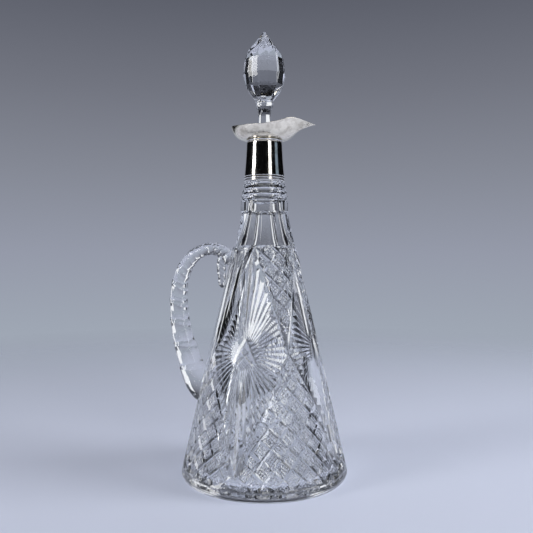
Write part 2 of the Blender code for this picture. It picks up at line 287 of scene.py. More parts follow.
def crossed_grooves(bm, faces, crossing, pitch, depth, side):
    """Two sets of parallel grooves, symmetric about the field's middle line, which cross at a point on it."""
    axis = Vector((math.sin(HALF_PANEL * UNROLL), -math.cos(HALF_PANEL * UNROLL), 0.0))
    step = pitch / math.sin(LATTICE_ANGLE)
    length = crossing.dot(axis)
    lines = math.ceil(200 / step)
    for hand in (1, -1):
        along = Matrix.Rotation(hand * LATTICE_ANGLE, 3, "Z") @ axis
        for k in range(-lines, lines + 1):
            start = axis * (length + step * k)
            run = ((-200.0, depth), (200.0, depth))
            faces = wheel_cut(bm, faces, start, along, run, side)
    return faces


def lattice(bm, faces, crossing):
    """Strawberry diamonds: deep crossed grooves with fine hatching on the tops left between them."""
    faces = crossed_grooves(bm, faces, crossing, LATTICE_PITCH, LATTICE_DEPTH, LATTICE_SIDE)
    crossed_grooves(bm, faces, crossing, LATTICE_PITCH / HATCH_LINES, HATCH_DEPTH, HATCH_SIDE)


def half_panel(own_upper, next_upper, has_sun, has_upper_lattice):
    """One half panel of cut glass, as a flat sheet with its depths."""
    bm = base_sheet()
    faces = list(bm.faces)
    for start, along, run in mitres(own_upper, next_upper):
        faces = wheel_cut(bm, faces, start, along, run, MITRE_SIDE)
    top, corner, _ = lozenge_corners()
    regions = {"lozenge": [], "upper": [], "lower": []}
    for face in faces:
        regions[region_of(face)].append(face)
    if has_sun:
        sunburst(bm, regions["lozenge"])
    if has_upper_lattice:
        lattice(bm, regions["upper"], axis_crossing(top))
    lattice(bm, regions["lower"], corner)
    for v in bm.verts:
        v.co = polar(v.co)
    down = Vector((0, 1, 0))
    faces = list(bm.faces)
    ring_start = Vector((0, -slant(PATTERN_TOP_Z), 0))
    run = ((-50, TOP_GROOVE_DEPTH), (200, TOP_GROOVE_DEPTH))
    wheel_cut(bm, faces, ring_start, Vector((1, 0, 0)), run, TOP_GROOVE_SIDE)
    foot_start = Vector((0, -slant(PATTERN_FOOT_Z + 0.0008), 0))
    fade(bm, foot_start, down, FOOT_FADE_SLOPE)
    for v in bm.verts:
        v.co = unpolar(v.co)
    return bm


def axis_crossing(point):
    """Where a lattice line through point meets the field's middle line."""
    axis = Vector((math.sin(HALF_PANEL * UNROLL), -math.cos(HALF_PANEL * UNROLL), 0.0))
    off = (point - axis * point.dot(axis)).length
    return axis * (point.dot(axis) + off / math.tan(LATTICE_ANGLE))


def roll(bm, out, turn, flip):
    """Rolls a flat half panel onto the cone and adds it to the body's mesh."""
    corner_of = {}
    for v in bm.verts:
        length = math.hypot(v.co.x, v.co.y)
        a = math.atan2(v.co.x, -v.co.y) / UNROLL
        a = turn - a if flip else turn + a
        z = APEX_Z - length * MM / SLANT
        r = cone_radius(z) - v.co.z * MM
        corner_of[v] = out.verts.new((r * math.cos(a), r * math.sin(a), z))
    for f in bm.faces:
        corners = [corner_of[v] for v in f.verts]
        out.faces.new(corners[::-1] if flip else corners)


# ---------------------------------------------------------------- the glass body


def ring(bm, radius, z, sides=144):
    """A ring of vertices round Z, or one vertex on the axis. radius may be a function of the angle."""
    if radius == 0.0:
        return [bm.verts.new((0.0, 0.0, z))]
    found = []
    for k in range(sides):
        a = 2 * math.pi * k / sides
        r = radius(a) if callable(radius) else radius
        found.append(bm.verts.new((r * math.cos(a), r * math.sin(a), z)))
    return found


def angle_of(v):
    return math.atan2(v.co.y, v.co.x) % (2 * math.pi)


def zip_rings(bm, lower, upper):
    """Joins two closed rings with triangles. The rings may have different numbers of vertices."""
    lower, upper = sorted(lower, key=angle_of), sorted(upper, key=angle_of)
    if len(upper) == 1 or len(lower) == 1:
        many, point = (lower, upper[0]) if len(upper) == 1 else (upper, lower[0])
        for a, b in zip(many, many[1:] + many[:1]):
            bm.faces.new((a, b, point))
        return
    i = j = 0
    n, m = len(lower), len(upper)
    while i < n or j < m:
        next_low = angle_of(lower[(i + 1) % n]) + 2 * math.pi * ((i + 1) // n)
        next_up = angle_of(upper[(j + 1) % m]) + 2 * math.pi * ((j + 1) // m)
        a, b = lower[i % n], upper[j % m]
        if j >= m or (i < n and next_low <= next_up):
            bm.faces.new((a, lower[(i + 1) % n], b))
            i += 1
        else:
            bm.faces.new((a, upper[(j + 1) % m], b))
            j += 1


def join_rings(bm, rings):
    """Quads between neighbouring rings with equal numbers of vertices."""
    for low, high in zip(rings, rings[1:]):
        for k in range(len(low)):
            n = (k + 1) % len(low)
            bm.faces.new((low[k], low[n], high[n], high[k]))


def smoothstep(t):
    t = min(max(t, 0.0), 1.0)
    return t * t * (3 - 2 * t)


def panel_radius(z):
    """Outline of the eight flat panels, which run out into the round neck at their tops."""
    eighth = math.pi / 4
    apothem = math.cos(eighth / 2)
    squeeze = apothem + (1 - apothem) * smoothstep((z - PANEL_END_Z) / PANEL_END_LENGTH)
    flat_radius = cone_radius(z) * squeeze

    def radius(a):
        off = (a % eighth) - eighth / 2
        return min(cone_radius(z), flat_radius / math.cos(off))

    return radius


def neck_rings(bm):
    """Three step-cut rings with rounded crests, under the silver collar."""
    rings = []
    for k in range(RING_COUNT):
        z, radius = RINGS_Z + RING_PITCH * k, BAND_RADIUS - RING_SHRINK * (k + 0.4)
        for part, inset in RING_PROFILE:
            rings.append(ring(bm, radius - inset * MM, z + RING_PITCH * part))
    return rings


def upper_rings(bm):
    """Everything outside the cut pattern's top: panels, band, step-cut rings, neck and mouth."""
    heights = [PANEL_FOOT_Z + PANEL_ROW * k for k in range(PANEL_ROWS)]
    heights += PANEL_END_ROWS
    rings = [ring(bm, panel_radius(z), z) for z in heights]
    rings += [ring(bm, BAND_RADIUS - inset, z) for inset, z in BAND]
    rings += neck_rings(bm)
    rings += [ring(bm, r, z) for r, z in NECK + MOUTH]
    return rings


def catmull(points, steps):
    """Smooth curve through rows of numbers, with steps spans between neighbours."""
    rows = [points[0], *points, points[-1]]
    found = []
    for a, b, c, d in zip(rows, rows[1:], rows[2:], rows[3:]):
        for k in range(steps):
            t = k / steps
            found.append(tuple(
                0.5 * (2 * q + (r - p) * t + (2 * p - 5 * q + 4 * r - s) * t * t
                       + (3 * q - p - 3 * r + s) * t ** 3)
                for p, q, r, s in zip(a, b, c, d)
            ))
    found.append(tuple(points[-1]))
    return found


def cavity_rings(bm):
    """The smooth blown inside, from the ground seat for the stopper down to the floor."""
    shape = list(BORE)
    shape += [(cone_radius(z) - WALL, z) for z in (0.166, 0.120, 0.070, 0.026)]
    corner = cone_radius(FLOOR_Z) - FOOT_WALL
    shape += [(corner - 0.0006, FLOOR_Z + 0.0072), (corner - 0.0020, FLOOR_Z + 0.0028)]
    shape += [(corner - 0.0070, FLOOR_Z + 0.0004)]
    shape += [(corner - 0.0200, FLOOR_Z), (0.0140, FLOOR_Z + 0.0003), (0.0020, FLOOR_Z + 0.0004)]
    rings = [ring(bm, r, z) for r, z in SEAT]
    rings += [ring(bm, r, z) for r, z in catmull(shape, 3)[1:]]
    return rings


def foot_rings(bm):
    """The scallops under the pattern, the plain band round the foot and its rounded lower corner."""
    def scalloped(a):
        return cone_radius(SCALLOP_Z) - SCALLOP_DEPTH * MM * abs(math.cos(SCALLOPS * a / 2)) ** 0.5

    rings = [ring(bm, scalloped, SCALLOP_Z, 8 * SCALLOPS), ring(bm, cone_radius(BAND_TOP_Z), BAND_TOP_Z)]
    corner = BASE_RADIUS - FOOT_FLAT_RADIUS
    for k in range(8):
        a = math.radians(90 * (1 - k / 7))
        rings.append(ring(bm, FOOT_FLAT_RADIUS + corner * math.sin(a), FOOT_CORNER * (1 - math.cos(a))))
    return rings


def base_star(bm, rim):
    """A star of long V cuts in the underside. Its rim is a ring of twice as many vertices as points."""
    points = len(rim) // 2
    previous = rim
    for radius, depth in STAR:
        loop = []
        for k in range(2 * points):
            a = 2 * math.pi * k / (2 * points)
            sunk = depth * MM if k % 2 else 0.0
            loop.append(bm.verts.new((radius * math.cos(a), radius * math.sin(a), sunk)))
        join_rings(bm, [previous, loop])
        previous = loop
    zip_rings(bm, previous, [bm.verts.new((0.0, 0.0, 0.0005))])


def cut_body():
    """The whole glass body as one closed mesh. Its inside surface has the second material slot."""
    bm = bmesh.new()
    full = half_panel(True, True, True, True)
    shy = half_panel(True, False, True, False)
    plain = half_panel(False, True, False, False)
    quarter = math.pi / 2
    for turn in (-quarter, 0.0, quarter):
        roll(shy if turn == quarter else full, bm, turn, False)
        roll(shy if turn == -quarter else full, bm, turn, True)
    roll(plain, bm, math.pi, False)
    roll(plain, bm, math.pi, True)
    bmesh.ops.remove_doubles(bm, verts=bm.verts, dist=2e-6)
    rim = {v for e in bm.edges if len(e.link_faces) == 1 for v in e.verts}
    middle = (PATTERN_FOOT_Z + PATTERN_TOP_Z) / 2
    top_rim = [v for v in rim if v.co.z > middle + 0.02]
    foot_rim = [v for v in rim if v.co.z < 0.020]
    outside = upper_rings(bm)
    zip_rings(bm, top_rim, outside[0])
    inside = cavity_rings(bm)
    join_rings(bm, outside + inside)
    bm.verts.ensure_lookup_table()
    last = [v for e in bm.edges if len(e.link_faces) == 1 for v in e.verts]
    floor_rim = {v for v in last if abs(v.co.z - (FLOOR_Z + 0.0004)) < 1e-6 and v.co.xy.length < 0.003}
    zip_rings(bm, list(floor_rim), [bm.verts.new((0.0, 0.0, FLOOR_Z + 0.0004))])
    foot = foot_rings(bm)
    zip_rings(bm, foot_rim, foot[0])
    zip_rings(bm, foot[0], foot[1])
    join_rings(bm, foot[1:])
    base_star(bm, foot[-1])
    blown = {v for row in inside for v in row}
    for face in bm.faces:
        face.material_index = 1 if all(v in blown for v in face.verts) else 0
    bmesh.ops.dissolve_degenerate(bm, edges=bm.edges, dist=5e-6)
    bmesh.ops.recalc_face_normals(bm, faces=bm.faces)
    return bm


# ---------------------------------------------------------------- the notched handle

HANDLE = (
    (0.0255, 0.1622, 0.0060, 0.0068), (0.0310, 0.1662, 0.0058, 0.0064), (0.0385, 0.1697, 0.0053, 0.0058),
    (0.0468, 0.1703, 0.0052, 0.0057), (0.0560, 0.1670, 0.0055, 0.0060), (0.0646, 0.1590, 0.0060, 0.0064),
    (0.0706, 0.1468, 0.0066, 0.0067), (0.0726, 0.1330, 0.0073, 0.0073), (0.0720, 0.1180, 0.0079, 0.0078),
    (0.0696, 0.1030, 0.0085, 0.0086), (0.0654, 0.0890, 0.0092, 0.0098), (0.0603, 0.0765, 0.0099, 0.0114),
    (0.0555, 0.0655, 0.0096, 0.0120), (0.0520, 0.0560, 0.0068, 0.0090), (0.0500, 0.0510, 0.0030, 0.0040),
)
TAIL = (
    (0.0300, 0.1660, 0.0042, 0.0048), (0.0345, 0.1625, 0.0042, 0.0046), (0.0356, 0.1560, 0.0037, 0.0041),
    (0.0352, 0.1490, 0.0032, 0.0036), (0.0350, 0.1430, 0.0025, 0.0028), (0.0348, 0.1402, 0.0009, 0.0011),
)
# Where the notches' ridges cross the handle and its tail, in millimetres along each from its start.
HANDLE_RIDGES = (4, 9, 14, 20, 27, 39, 52, 65, 79, 94, 112, 131)
TAIL_RIDGES = (2, 8, 14, 20, 26)
NOTCH_DEPTH = 0.15
RIDGE_WAVE = 3.4
# How far the handle's ends run into the body, so that the joint looks fused.
FUSED_DEPTH = 0.00008


def notch(ridges, s, a):
    """How deep the cutter's scoops go at a distance along the handle and an angle round it, from 0 to 1."""
    for low, high in zip(ridges, ridges[1:]):
        if low <= s < high:
            u = (s - low) / (high - low)
            facet = math.cos(3 * a) ** 2
            return (4 * u * (1 - u)) ** 0.6 * (0.5 + 0.5 * facet)
    return 0.0


def swept(bm, stations, ridges, around, scoop):
    """A closed oval sweep in the XZ plane on the -X side, notched between its ridges."""
    rings, travelled = [], 0.0
    for k, (out, height, thick, wide) in enumerate(stations):
        before, after = stations[max(k - 1, 0)], stations[min(k + 1, len(stations) - 1)]
        along = Vector((before[0] - after[0], 0.0, after[1] - before[1])).normalized()
        across = Vector((along.z, 0.0, -along.x))
        centre = Vector((-out, 0.0, height))
        if k:
            travelled += math.hypot(out - before[0], height - before[1]) / MM
        loop = []
        for j in range(around):
            a = 2 * math.pi * (j + 0.5) / around
            size = 1 - scoop * notch(ridges, travelled + RIDGE_WAVE * math.cos(a), a)
            offset = across * (thick * math.cos(a) * size) + Vector((0, wide * math.sin(a) * size, 0))
            loop.append(bm.verts.new(centre + offset))
        rings.append(loop)
    join_rings(bm, rings)
    for end in (rings[0], rings[-1]):
        bm.faces.new(end)
    bmesh.ops.recalc_face_normals(bm, faces=bm.faces)


def new_object(name, bm, smooth_angle=None):
    mesh = bpy.data.meshes.new(name)
    bm.to_mesh(mesh)
    bm.free()
    if smooth_angle is not None:
        mesh.shade_smooth()
        mesh.set_sharp_from_angle(angle=math.radians(smooth_angle))
    piece = bpy.data.objects.new(name, mesh)
    bpy.context.collection.objects.link(piece)
    return piece


def apply_boolean(piece, other, operation):
    """Joins or cuts piece by another object, and removes that object."""
    modifier = piece.modifiers.new(operation, "BOOLEAN")
    modifier.operation = operation
    modifier.object = other
    modifier.solver = "EXACT"
    with bpy.context.temp_override(object=piece, active_object=piece, selected_objects=[piece]):
        bpy.ops.object.modifier_apply(modifier=modifier.name)
    bpy.data.objects.remove(other)


def cone_cutter(clearance):
    """The body's plain outside, offset by a clearance, to cut the handle's ends to it."""
    bm = bmesh.new()
    low, high = 0.030, 0.190
    rings = [ring(bm, cone_radius(z) + clearance, z) for z in (low, high)]
    join_rings(bm, rings)
    bm.faces.new(rings[0])
    bm.faces.new(rings[1])
    bmesh.ops.recalc_face_normals(bm, faces=bm.faces)
    return new_object("cone_cutter", bm)


def cut_handle():
    bm = bmesh.new()
    swept(bm, catmull(HANDLE, 16), HANDLE_RIDGES, 48, NOTCH_DEPTH)
    piece = new_object("notched_handle", bm)
    bm = bmesh.new()
    swept(bm, catmull(TAIL, 10), TAIL_RIDGES, 32, NOTCH_DEPTH)
    apply_boolean(piece, new_object("tail", bm), "UNION")
    apply_boolean(piece, cone_cutter(-FUSED_DEPTH), "DIFFERENCE")
    return piece


# ---------------------------------------------------------------- the stopper

FINIAL = (
    (0.3328, 0.0006), (0.3155, 0.0129), (0.3115, 0.0143), (0.3000, 0.0158),
    (0.2925, 0.0138), (0.2880, 0.0115), (0.2812, 0.0062),
)
CROWN_FACETS, ROW_FACETS = 6, 12
EDGE_BREAK = 0.00012
PEG = ((0.0058, 0.2222), (0.0064, 0.2230), (0.0067, 0.2260), (0.0076, 0.2425), (0.0072, 0.2435))
STEM = ((0.0060, 0.2452), (0.0054, 0.2520), (0.0050, 0.2620), (0.0046, 0.2706), (0.0052, 0.2740))
KNOP = ((0.0067, 0.2778), (0.0067, 0.2802), (0.0058, 0.2822), (0.0046, 0.2850))
PEG_TOP = 0.2436
STOPPER_TURN = math.radians(-59)


def grind(bm, point, normal):
    """Grinds one flat facet: everything beyond the plane goes, and the cut is closed."""
    cut = bmesh.ops.bisect_plane(
        bm, geom=[*bm.verts, *bm.edges, *bm.faces], plane_co=point, plane_no=normal,
        clear_outer=True, dist=1e-7,
    )
    edges = [e for e in cut["geom_cut"] if isinstance(e, bmesh.types.BMEdge)]
    bmesh.ops.contextual_create(bm, geom=edges)


def finial():
    """The faceted head of the stopper, with its edges just broken by polishing."""
    bm = bmesh.new()
    low, high = FINIAL[-1][0], FINIAL[0][0]
    bmesh.ops.create_cube(bm, size=0.060)
    bmesh.ops.translate(bm, verts=bm.verts, vec=(0, 0, low + 0.030))
    grind(bm, Vector((0, 0, high)), Vector((0, 0, 1)))
    for row, (upper, lower) in enumerate(zip(FINIAL, FINIAL[1:])):
        facets = CROWN_FACETS if row == 0 else ROW_FACETS
        phase = STOPPER_TURN + (math.pi / facets if row else 0.0)
        rise, run = upper[0] - lower[0], lower[1] - upper[1]
        for k in range(facets):
            a = phase + 2 * math.pi * k / facets
            out = Vector((math.cos(a), math.sin(a), 0.0))
            normal = (out * rise + Vector((0.0, 0.0, run))).normalized()
            grind(bm, out * lower[1] + Vector((0.0, 0.0, lower[0])), normal)
    bmesh.ops.bevel(bm, geom=list(bm.edges), offset=EDGE_BREAK, segments=1, affect="EDGES")
    return bm


def shank():
    """Knop and stem with eight flats, and the round ground peg below them."""
    bm = bmesh.new()
    eighth = math.pi / 4

    def flats(radius):
        return lambda a: radius * math.cos(eighth / 2) / math.cos(((a - STOPPER_TURN) % eighth) - eighth / 2)

    rings = [ring(bm, r, z, 96) for r, z in PEG]
    for r, z in STEM + KNOP:
        rings.append(ring(bm, flats(r), z, 96))
    join_rings(bm, rings)
    bm.faces.new(rings[0])
    bm.faces.new(rings[-1])
    bmesh.ops.recalc_face_normals(bm, faces=bm.faces)
    return bm


def cut_stopper():
    """The stopper in one piece. Its ground peg has the second material slot."""
    piece = new_object("faceted_stopper", finial())
    apply_boolean(piece, new_object("shank", shank()), "UNION")
    for face in piece.data.polygons:
        face.material_index = 1 if face.center.z < PEG_TOP else 0
    return piece


# ---------------------------------------------------------------- the silver mount

# The brim: degrees round from the spout, radius and height. Both sides are the same.
BRIM = (
    (0, 0.0400, 0.2608), (8, 0.0345, 0.2630), (18, 0.0296, 0.2651), (32, 0.0268, 0.2643),
    (48, 0.0253, 0.2621), (75, 0.0250, 0.2597), (110, 0.0250, 0.2598), (145, 0.0250, 0.2612),
    (180, 0.0250, 0.2620),
)
LIP_FOOT_RADIUS, LIP_FOOT_Z, LIP_THICKNESS, LIP_HOLE_RADIUS = 0.0133, 0.2520, 0.0009, 0.0083


def brim_at(angle):
    """Radius and height of the lip's brim at an angle in degrees from the spout, the same on both sides."""
    turn = abs((angle + 180) % 360 - 180)
    before = [(-a, r, z) for a, r, z in BRIM[1:3]][::-1]
    beyond = [(360 - a, r, z) for a, r, z in BRIM[-3:-1]][::-1]
    rows = before + list(BRIM) + beyond
    k = next(k for k in range(2, len(rows)) if rows[k][0] <= turn <= rows[k + 1][0])
    a, b, c, d = rows[k - 1], rows[k], rows[k + 1], rows[k + 2]
    t = (turn - b[0]) / (c[0] - b[0])
    found = []
    for i in (1, 2):
        slope_b = (c[i] - a[i]) / (c[0] - a[0]) * (c[0] - b[0])
        slope_c = (d[i] - b[i]) / (d[0] - b[0]) * (c[0] - b[0])
        h = t * t * (3 - 2 * t)
        rise = t * (1 - t) * (1 - t) * slope_b - t * t * (1 - t) * slope_c
        found.append(b[i] * (1 - h) + c[i] * h + rise)
    return found


def lip_point(angle, s, lift):
    """A point of the lip from the collar (s = 0) to the brim (s = 1); lift runs through its thickness."""
    radius, height = brim_at(angle)
    reach = max(0.0, (radius - 0.026) / 0.014)
    first = (LIP_FOOT_RADIUS + 0.0060, LIP_FOOT_Z)
    second = (0.0235 + 0.0035 * reach, LIP_FOOT_Z + 0.0030 + 0.0050 * reach)
    knots = ((LIP_FOOT_RADIUS, LIP_FOOT_Z), first, second, (radius, height))
    weights = ((1 - s) ** 3, 3 * s * (1 - s) ** 2, 3 * s * s * (1 - s), s ** 3)
    r = sum(w * k[0] for w, k in zip(weights, knots))
    z = sum(w * k[1] for w, k in zip(weights, knots))
    shift = LIP_THICKNESS * (1 - 0.25 * s) * lift
    r -= shift * s * 0.9
    z += shift * (1 - 0.55 * s)
    a = math.radians(angle)
    return Vector((r * math.cos(a), r * math.sin(a), z))


def silver_lip():
    """The spun and pinched lip, with a rounded brim and a turned-in throat."""
    bm = bmesh.new()
    angles = [2 * k for k in range(180)]
    rows = 22
    stations = [(k / rows, 0.0) for k in range(rows + 1)]
    stations += [(1.0, 0.30), (1.0, 0.70)]
    stations += [(k / rows, 1.0) for k in range(rows, -1, -1)]
    rings = [[bm.verts.new(lip_point(a, s, lift)) for a in angles] for s, lift in stations]
    throat = ((0.0026, LIP_THICKNESS), (0.0004, LIP_THICKNESS), (0.0, LIP_THICKNESS * 0.6), (0.0, 0.0))
    for inset, z in throat:
        rings.append([
            bm.verts.new((
                (LIP_HOLE_RADIUS + inset) * math.cos(math.radians(a)),
                (LIP_HOLE_RADIUS + inset) * math.sin(math.radians(a)),
                LIP_FOOT_Z + z,
            )) for a in angles
        ])
    join_rings(bm, rings + rings[:1])
    bmesh.ops.recalc_face_normals(bm, faces=bm.faces)
    return new_object("wavy_pouring_lip", bm, 35)


def turned_ring(name, outline, sides=160):
    bm = bmesh.new()
    rings = [ring(bm, r, z, sides) for r, z in outline]
    join_rings(bm, rings + rings[:1])
    bmesh.ops.recalc_face_normals(bm, faces=bm.faces)
    return new_object(name, bm, 35)


SLEEVE_TOP_RADIUS, SLEEVE_TOP_EDGE, SLEEVE_THICKNESS, SLEEVE_WAIST = 0.0134, 0.0132, 0.0008, 0.00018
REED_BULGE, BEAD_BULGE = 0.0007, 0.0004
# The four blank punches: directions, half width and half height, how far their cutter reaches inwards,
# and their height over the sleeve's foot.
PUNCH_TURNS = [math.radians(a) for a in (-112, -97, -82, -67)]
PUNCH_WIDE, PUNCH_TALL, PUNCH_REACH, PUNCH_HEIGHT = 0.00062, 0.00075, 0.00016, 0.0034


def silver_sleeve():
    """The tapered sleeve, slightly waisted, with softened ends."""
    low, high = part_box("collar_sleeve")
    foot, top = low.z, high.z
    outside = []
    for k in range(13):
        t = k / 12
        bow = SLEEVE_WAIST * math.sin(math.pi * t)
        radius = high.x + (SLEEVE_TOP_RADIUS - high.x) * t - bow
        outside.append((radius, foot + 0.0003 + (top - foot - 0.0006) * t))
    outline = [(high.x - 0.0002, foot)] + outside + [(SLEEVE_TOP_EDGE, top)]
    outline += [(SLEEVE_TOP_RADIUS - SLEEVE_THICKNESS, top), (high.x - SLEEVE_THICKNESS, foot)]
    sleeve = turned_ring("polished_sleeve", outline)
    apply_boolean(sleeve, punches(high.x - 0.0003, foot + PUNCH_HEIGHT), "DIFFERENCE")
    sleeve.data.set_sharp_from_angle(angle=math.radians(35))
    return sleeve


def punches(radius, height):
    """Four small blank punches low on the front of the sleeve, with no figure in them."""
    bm = bmesh.new()
    for turn in PUNCH_TURNS:
        out = Vector((math.cos(turn), math.sin(turn), 0.0))
        side = Vector((-out.y, out.x, 0.0))
        rows = []
        for reach in (-PUNCH_REACH, 0.0012):
            centre = out * (radius + reach) + Vector((0.0, 0.0, height))
            row = []
            for k in range(8):
                a = math.radians(22.5 + 45 * k)
                across, up = side * (PUNCH_WIDE * math.cos(a)), Vector((0, 0, PUNCH_TALL * math.sin(a)))
                row.append(bm.verts.new(centre + across + up))
            rows.append(row)
        join_rings(bm, rows)
        bm.faces.new(rows[0])
        bm.faces.new(rows[1])
    bmesh.ops.recalc_face_normals(bm, faces=bm.faces)
    return new_object("punches", bm)


def reeded_wire():
    """Two rounded reeds between fine grooves."""
    low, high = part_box("collar_foot_wire")
    outline = [(0.0131, high.z), (0.0131, low.z)]
    reeds = 2
    pitch = (high.z - low.z) / reeds
    for k in range(reeds):
        for part in range(9):
            a = math.pi * part / 8
            z = low.z + pitch * (k + 0.04 + 0.92 * part / 8)
            outline.append((high.x - REED_BULGE + REED_BULGE * math.sin(a), z))
    return turned_ring("reeded_foot_wire", outline)


def bead_wire():
    low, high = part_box("collar_top_wire")
    outline = [(0.0127, high.z), (0.0127, low.z)]
    for part in range(9):
        a = math.pi * part / 8
        z = low.z + (high.z - low.z) * part / 8
        outline.append((high.x - BEAD_BULGE + BEAD_BULGE * math.sin(a), z))
    return turned_ring("bead_top_wire", outline)


# ---------------------------------------------------------------- materials


def nodes_of(name):
    material = bpy.data.materials.new(name)
    material.use_nodes = True
    tree = material.node_tree
    return material, tree, tree.nodes["Principled BSDF"]


def add(tree, kind, **values):
    node = tree.nodes.new(kind)
    for key, value in values.items():
        if key in node.inputs:
            node.inputs[key].default_value = value
        else:
            setattr(node, key, value)
    return node


def noise(tree, scale, detail=3.0, roughness=0.5, stretch=(1, 1, 1)):
    """Noise in the object's own coordinates, in metres."""
    coordinates = add(tree, "ShaderNodeTexCoord")
    mapping = add(tree, "ShaderNodeMapping")
    mapping.inputs["Scale"].default_value = stretch
    tree.links.new(coordinates.outputs["Object"], mapping.inputs["Vector"])
    texture = add(tree, "ShaderNodeTexNoise", Scale=scale, Detail=detail, Roughness=roughness)
    tree.links.new(mapping.outputs["Vector"], texture.inputs["Vector"])
    return texture.outputs["Fac"]


def remap(tree, value, low, high, to_low, to_high):
    node = add(tree, "ShaderNodeMapRange")
    for key, number in (("From Min", low), ("From Max", high), ("To Min", to_low), ("To Max", to_high)):
        node.inputs[key].default_value = number
    tree.links.new(value, node.inputs["Value"])
    return node.outputs["Result"]


def bump(tree, height, distance, strength=1.0, after=None):
    node = add(tree, "ShaderNodeBump", Strength=strength, Distance=distance)
    tree.links.new(height, node.inputs["Height"])
    if after is not None:
        tree.links.new(after, node.inputs["Normal"])
    return node.outputs["Normal"]


def let_light_through(tree, shader):
    """Lamps shine through the glass, a little dimmed by each surface, so that its shadow is pale."""
    path = add(tree, "ShaderNodeLightPath")
    mix = add(tree, "ShaderNodeMixShader")
    clear = add(tree, "ShaderNodeBsdfTransparent", Color=(0.785, 0.79, 0.80, 1.0))
    tree.links.new(path.outputs["Is Shadow Ray"], mix.inputs["Fac"])
    tree.links.new(shader.outputs[0], mix.inputs[1])
    tree.links.new(clear.outputs[0], mix.inputs[2])
    tree.links.new(mix.outputs[0], tree.nodes["Material Output"].inputs["Surface"])


def crystal(name, tint, rough_low, rough_high, wave):
    """Polished lead crystal: clear, very faintly tinted, with hand-polished waviness and a light haze."""
    material, tree, shader = nodes_of(name)
    cords = add(tree, "ShaderNodeMix", data_type="RGBA")
    cords.inputs["A"].default_value = (*tint, 1.0)
    cords.inputs["B"].default_value = (*(0.98 * part for part in tint), 1.0)
    streaks = remap(tree, noise(tree, 30.0, 2.0, 0.5, (1.0, 1.0, 0.2)), 0.45, 0.65, 0.0, 1.0)
    tree.links.new(streaks, cords.inputs["Factor"])
    tree.links.new(cords.outputs["Result"], shader.inputs["Base Color"])
    shader.inputs["Transmission Weight"].default_value = 1.0
    shader.inputs["IOR"].default_value = 1.54
    shader.inputs["Roughness"].default_value = rough_low
    if rough_high > rough_low:
        haze = remap(tree, noise(tree, 55.0, 4.0, 0.6), 0.45, 0.75, rough_low, rough_high)
        tree.links.new(haze, shader.inputs["Roughness"])
    ripple = bump(tree, noise(tree, 140.0, 2.0), wave)
    tree.links.new(ripple, shader.inputs["Normal"])
    let_light_through(tree, shader)
    return material


def silver(name, colour, dark, rough_low, rough_high, scratch, clean=0.48, black=0.78):
    """Worn sterling silver: soft blotches of tarnish, fine polishing scratches and tiny dents."""
    material, tree, shader = nodes_of(name)
    shader.inputs["Metallic"].default_value = 1.0
    tone = add(tree, "ShaderNodeMix", data_type="RGBA")
    tone.inputs["A"].default_value = (*colour, 1.0)
    tone.inputs["B"].default_value = (*dark, 1.0)
    tarnish = remap(tree, noise(tree, 160.0, 5.0, 0.62), clean, black, 0.0, 1.0)
    tree.links.new(tarnish, tone.inputs["Factor"])
    tree.links.new(tone.outputs["Result"], shader.inputs["Base Color"])
    wear = remap(tree, noise(tree, 420.0, 4.0, 0.7), 0.35, 0.75, rough_low, rough_high)
    tree.links.new(wear, shader.inputs["Roughness"])
    lines = bump(tree, noise(tree, 900.0, 2.0, 0.5, (1.0, 1.0, 0.08)), scratch)
    dents = bump(tree, noise(tree, 70.0, 1.0), scratch * 12, 1.0, lines)
    tree.links.new(dents, shader.inputs["Normal"])
    return material


def plaster():
    material, tree, shader = nodes_of("plaster_of_paris")
    tone = add(tree, "ShaderNodeMix", data_type="RGBA")
    tone.inputs["A"].default_value = (0.34, 0.31, 0.26, 1.0)
    tone.inputs["B"].default_value = (0.20, 0.18, 0.15, 1.0)
    tree.links.new(noise(tree, 300.0, 5.0), tone.inputs["Factor"])
    tree.links.new(tone.outputs["Result"], shader.inputs["Base Color"])
    shader.inputs["Roughness"].default_value = 0.9
    tree.links.new(bump(tree, noise(tree, 700.0, 4.0), 0.0002), shader.inputs["Normal"])
    return material


# ---------------------------------------------------------------- stage, light and camera

# The camera, fitted so that the object is framed as in the photograph.
AXIS_TO_CAMERA = 0.4694
CAMERA_HEIGHT = 0.1675
CAMERA_TURN = math.radians(20)
CAMERA_PITCH = math.radians(-1.29)
CAMERA_YAW = math.radians(-0.19)
LENS_PER_SENSOR = 1.163
TABLE_Z, TABLE_RINGS = -0.0002, (0.05, 0.2, 0.5, 1.0, 1.6)


def add_camera():
    data = bpy.data.cameras.new("camera")
    data.lens = LENS_PER_SENSOR * data.sensor_width
    camera = bpy.data.objects.new("camera", data)
    back = Vector((math.sin(CAMERA_TURN), -math.cos(CAMERA_TURN), 0.0))
    camera.location = back * AXIS_TO_CAMERA + Vector((0, 0, CAMERA_HEIGHT))
    camera.rotation_euler = (math.pi / 2 + CAMERA_PITCH, 0.0, CAMERA_TURN + CAMERA_YAW)
    bpy.context.collection.objects.link(camera)
    bpy.context.scene.camera = camera


def linear(*display):
    """Display colour, 0 to 255, to linear light."""
    return [((c / 255 + 0.055) / 1.055) ** 2.4 for c in display]


